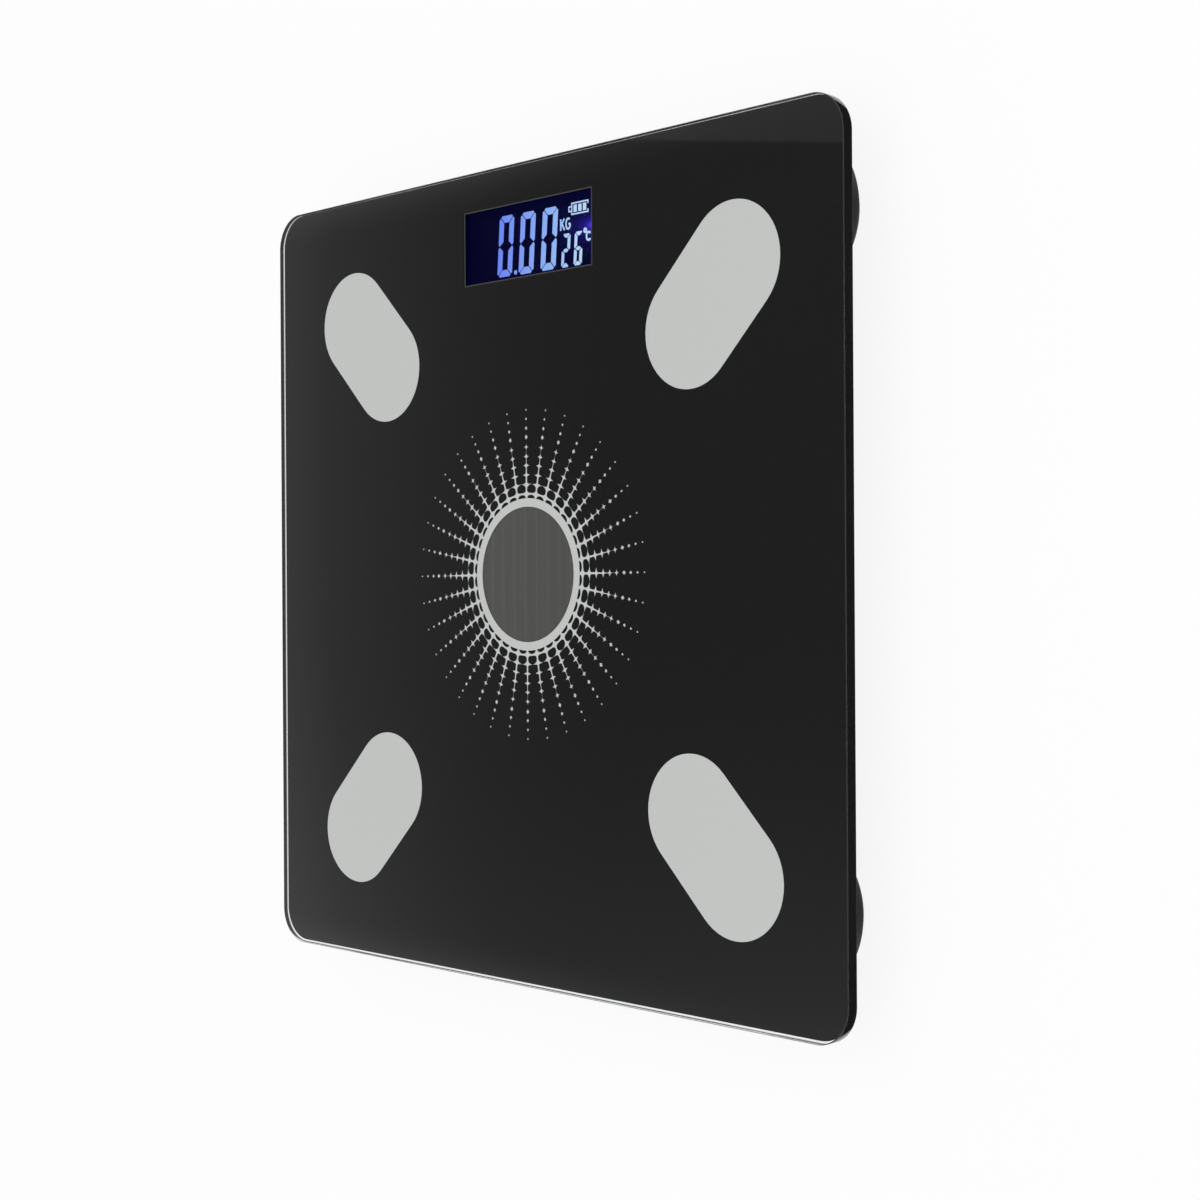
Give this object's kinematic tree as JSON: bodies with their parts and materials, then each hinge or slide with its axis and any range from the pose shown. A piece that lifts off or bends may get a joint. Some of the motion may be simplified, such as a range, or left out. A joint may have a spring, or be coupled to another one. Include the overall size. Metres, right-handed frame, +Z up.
{
  "type": "digital bathroom scale",
  "caption": "Square black glass digital bathroom scale on round load-cell feet, with a backlit display window, a round solar cell with a sunburst ring, and a battery housing under the glass.",
  "frame": {"origin": "centre of the square on the floor, under the middle of the solar cell", "axes": "+Z up through the glass, +Y towards the display end, +X to the right of the user"},
  "size_m": [0.26, 0.26, 0.023],
  "materials": {
    "tempered_glass": "clear float glass, polished faces, ground edge",
    "black_ink": "screen-printed, seen through the glass",
    "silver_ink": "screen-printed, seen through the glass",
    "black_abs": "moulded, fine texture",
    "sole_rubber": "moulded, matt",
    "load_cell_steel": "stamped spring steel, nickel plated",
    "gauge_sealant": "cured silicone",
    "solar_film": "thin film on glass, fine stripes",
    "display_glass": "polarised glass, near-black blue",
    "light_guide": "clear acrylic with white back",
    "led_package": "moulded",
    "zebra_rubber": "layered elastomer",
    "foam_black": "open-cell foam",
    "board_laminate": "solder mask on glass-fibre laminate",
    "potting": "cured epoxy drop",
    "chip_ceramic": "fired chips with tinned ends",
    "switch_steel": "tinned cover",
    "button_abs": "moulded, satin",
    "screw_zinc": "zinc plated",
    "cell_jacket": "plain shrink jacket",
    "contact_nickel": "nickel-plated spring strip",
    "wire_red": "PVC insulation",
    "wire_black": "PVC insulation",
    "wire_white": "PVC insulation",
    "clip_nylon": "moulded nylon"
  },
  "bodies": {
    "platform": {"glass_platform": "tempered_glass", "black_print": "black_ink", "silver_marks": "silver_ink", "solar_ring": "silver_ink", "solar_cell": "solar_film", "solar_holder": "black_abs", "solar_lead_red": "wire_red", "solar_lead_black": "wire_black", "electronics_housing": "black_abs", "lcd_gasket": "foam_black", "lcd_frame": "black_abs", "lcd_panel": "display_glass", "lcd_backlight": "light_guide", "backlight_led": "led_package", "zebra_strip": "zebra_rubber", "main_board": "board_laminate", "controller_chip": "potting", "chip_parts": "chip_ceramic", "thermistor": "potting", "tact_switch": "switch_steel", "board_screws": "screw_zinc", "battery_cell_front": "cell_jacket", "battery_cell_rear": "cell_jacket", "battery_contact_link": "contact_nickel", "battery_contact_positive": "contact_nickel", "battery_contact_negative": "contact_nickel", "battery_lead_red": "wire_red", "battery_lead_black": "wire_black", "sense_wires_red": "wire_red", "sense_wires_black": "wire_black", "sense_wires_white": "wire_white", "wire_clips": "clip_nylon", "foot_holder_front_left": "black_abs", "load_cell_front_left": "load_cell_steel", "strain_gauge_front_left": "gauge_sealant", "foot_holder_front_right": "black_abs", "load_cell_front_right": "load_cell_steel", "strain_gauge_front_right": "gauge_sealant", "foot_holder_rear_left": "black_abs", "load_cell_rear_left": "load_cell_steel", "strain_gauge_rear_left": "gauge_sealant", "foot_holder_rear_right": "black_abs", "load_cell_rear_right": "load_cell_steel", "strain_gauge_rear_right": "gauge_sealant"},
    "foot_front_left": {"foot_cap_front_left": "black_abs", "foot_pad_front_left": "sole_rubber"},
    "foot_front_right": {"foot_cap_front_right": "black_abs", "foot_pad_front_right": "sole_rubber"},
    "foot_rear_left": {"foot_cap_rear_left": "black_abs", "foot_pad_rear_left": "sole_rubber"},
    "foot_rear_right": {"foot_cap_rear_right": "black_abs", "foot_pad_rear_right": "sole_rubber"},
    "unit_button": {"unit_button": "button_abs", "switch_plunger": "button_abs"},
    "battery_door": {"battery_door": "black_abs"}
  },
  "joints": [
    {"name": "foot_press_front_left", "type": "slide", "parent": "platform", "child": "foot_front_left", "axis": [0, 0, 1], "range_m": [-0.0005, 0]},
    {"name": "foot_press_front_right", "type": "slide", "parent": "platform", "child": "foot_front_right", "axis": [0, 0, 1], "range_m": [-0.0005, 0]},
    {"name": "foot_press_rear_left", "type": "slide", "parent": "platform", "child": "foot_rear_left", "axis": [0, 0, 1], "range_m": [-0.0005, 0]},
    {"name": "foot_press_rear_right", "type": "slide", "parent": "platform", "child": "foot_rear_right", "axis": [0, 0, 1], "range_m": [-0.0005, 0]},
    {"name": "unit_button_press", "type": "slide", "parent": "platform", "child": "unit_button", "axis": [0, 0, 1], "range_m": [0, 0.0003], "stiffness_N_per_m": 5000},
    {"name": "battery_door_slide", "type": "slide", "parent": "platform", "child": "battery_door", "axis": [0, -1, 0], "range_m": [0, 0.02]}
  ]
}
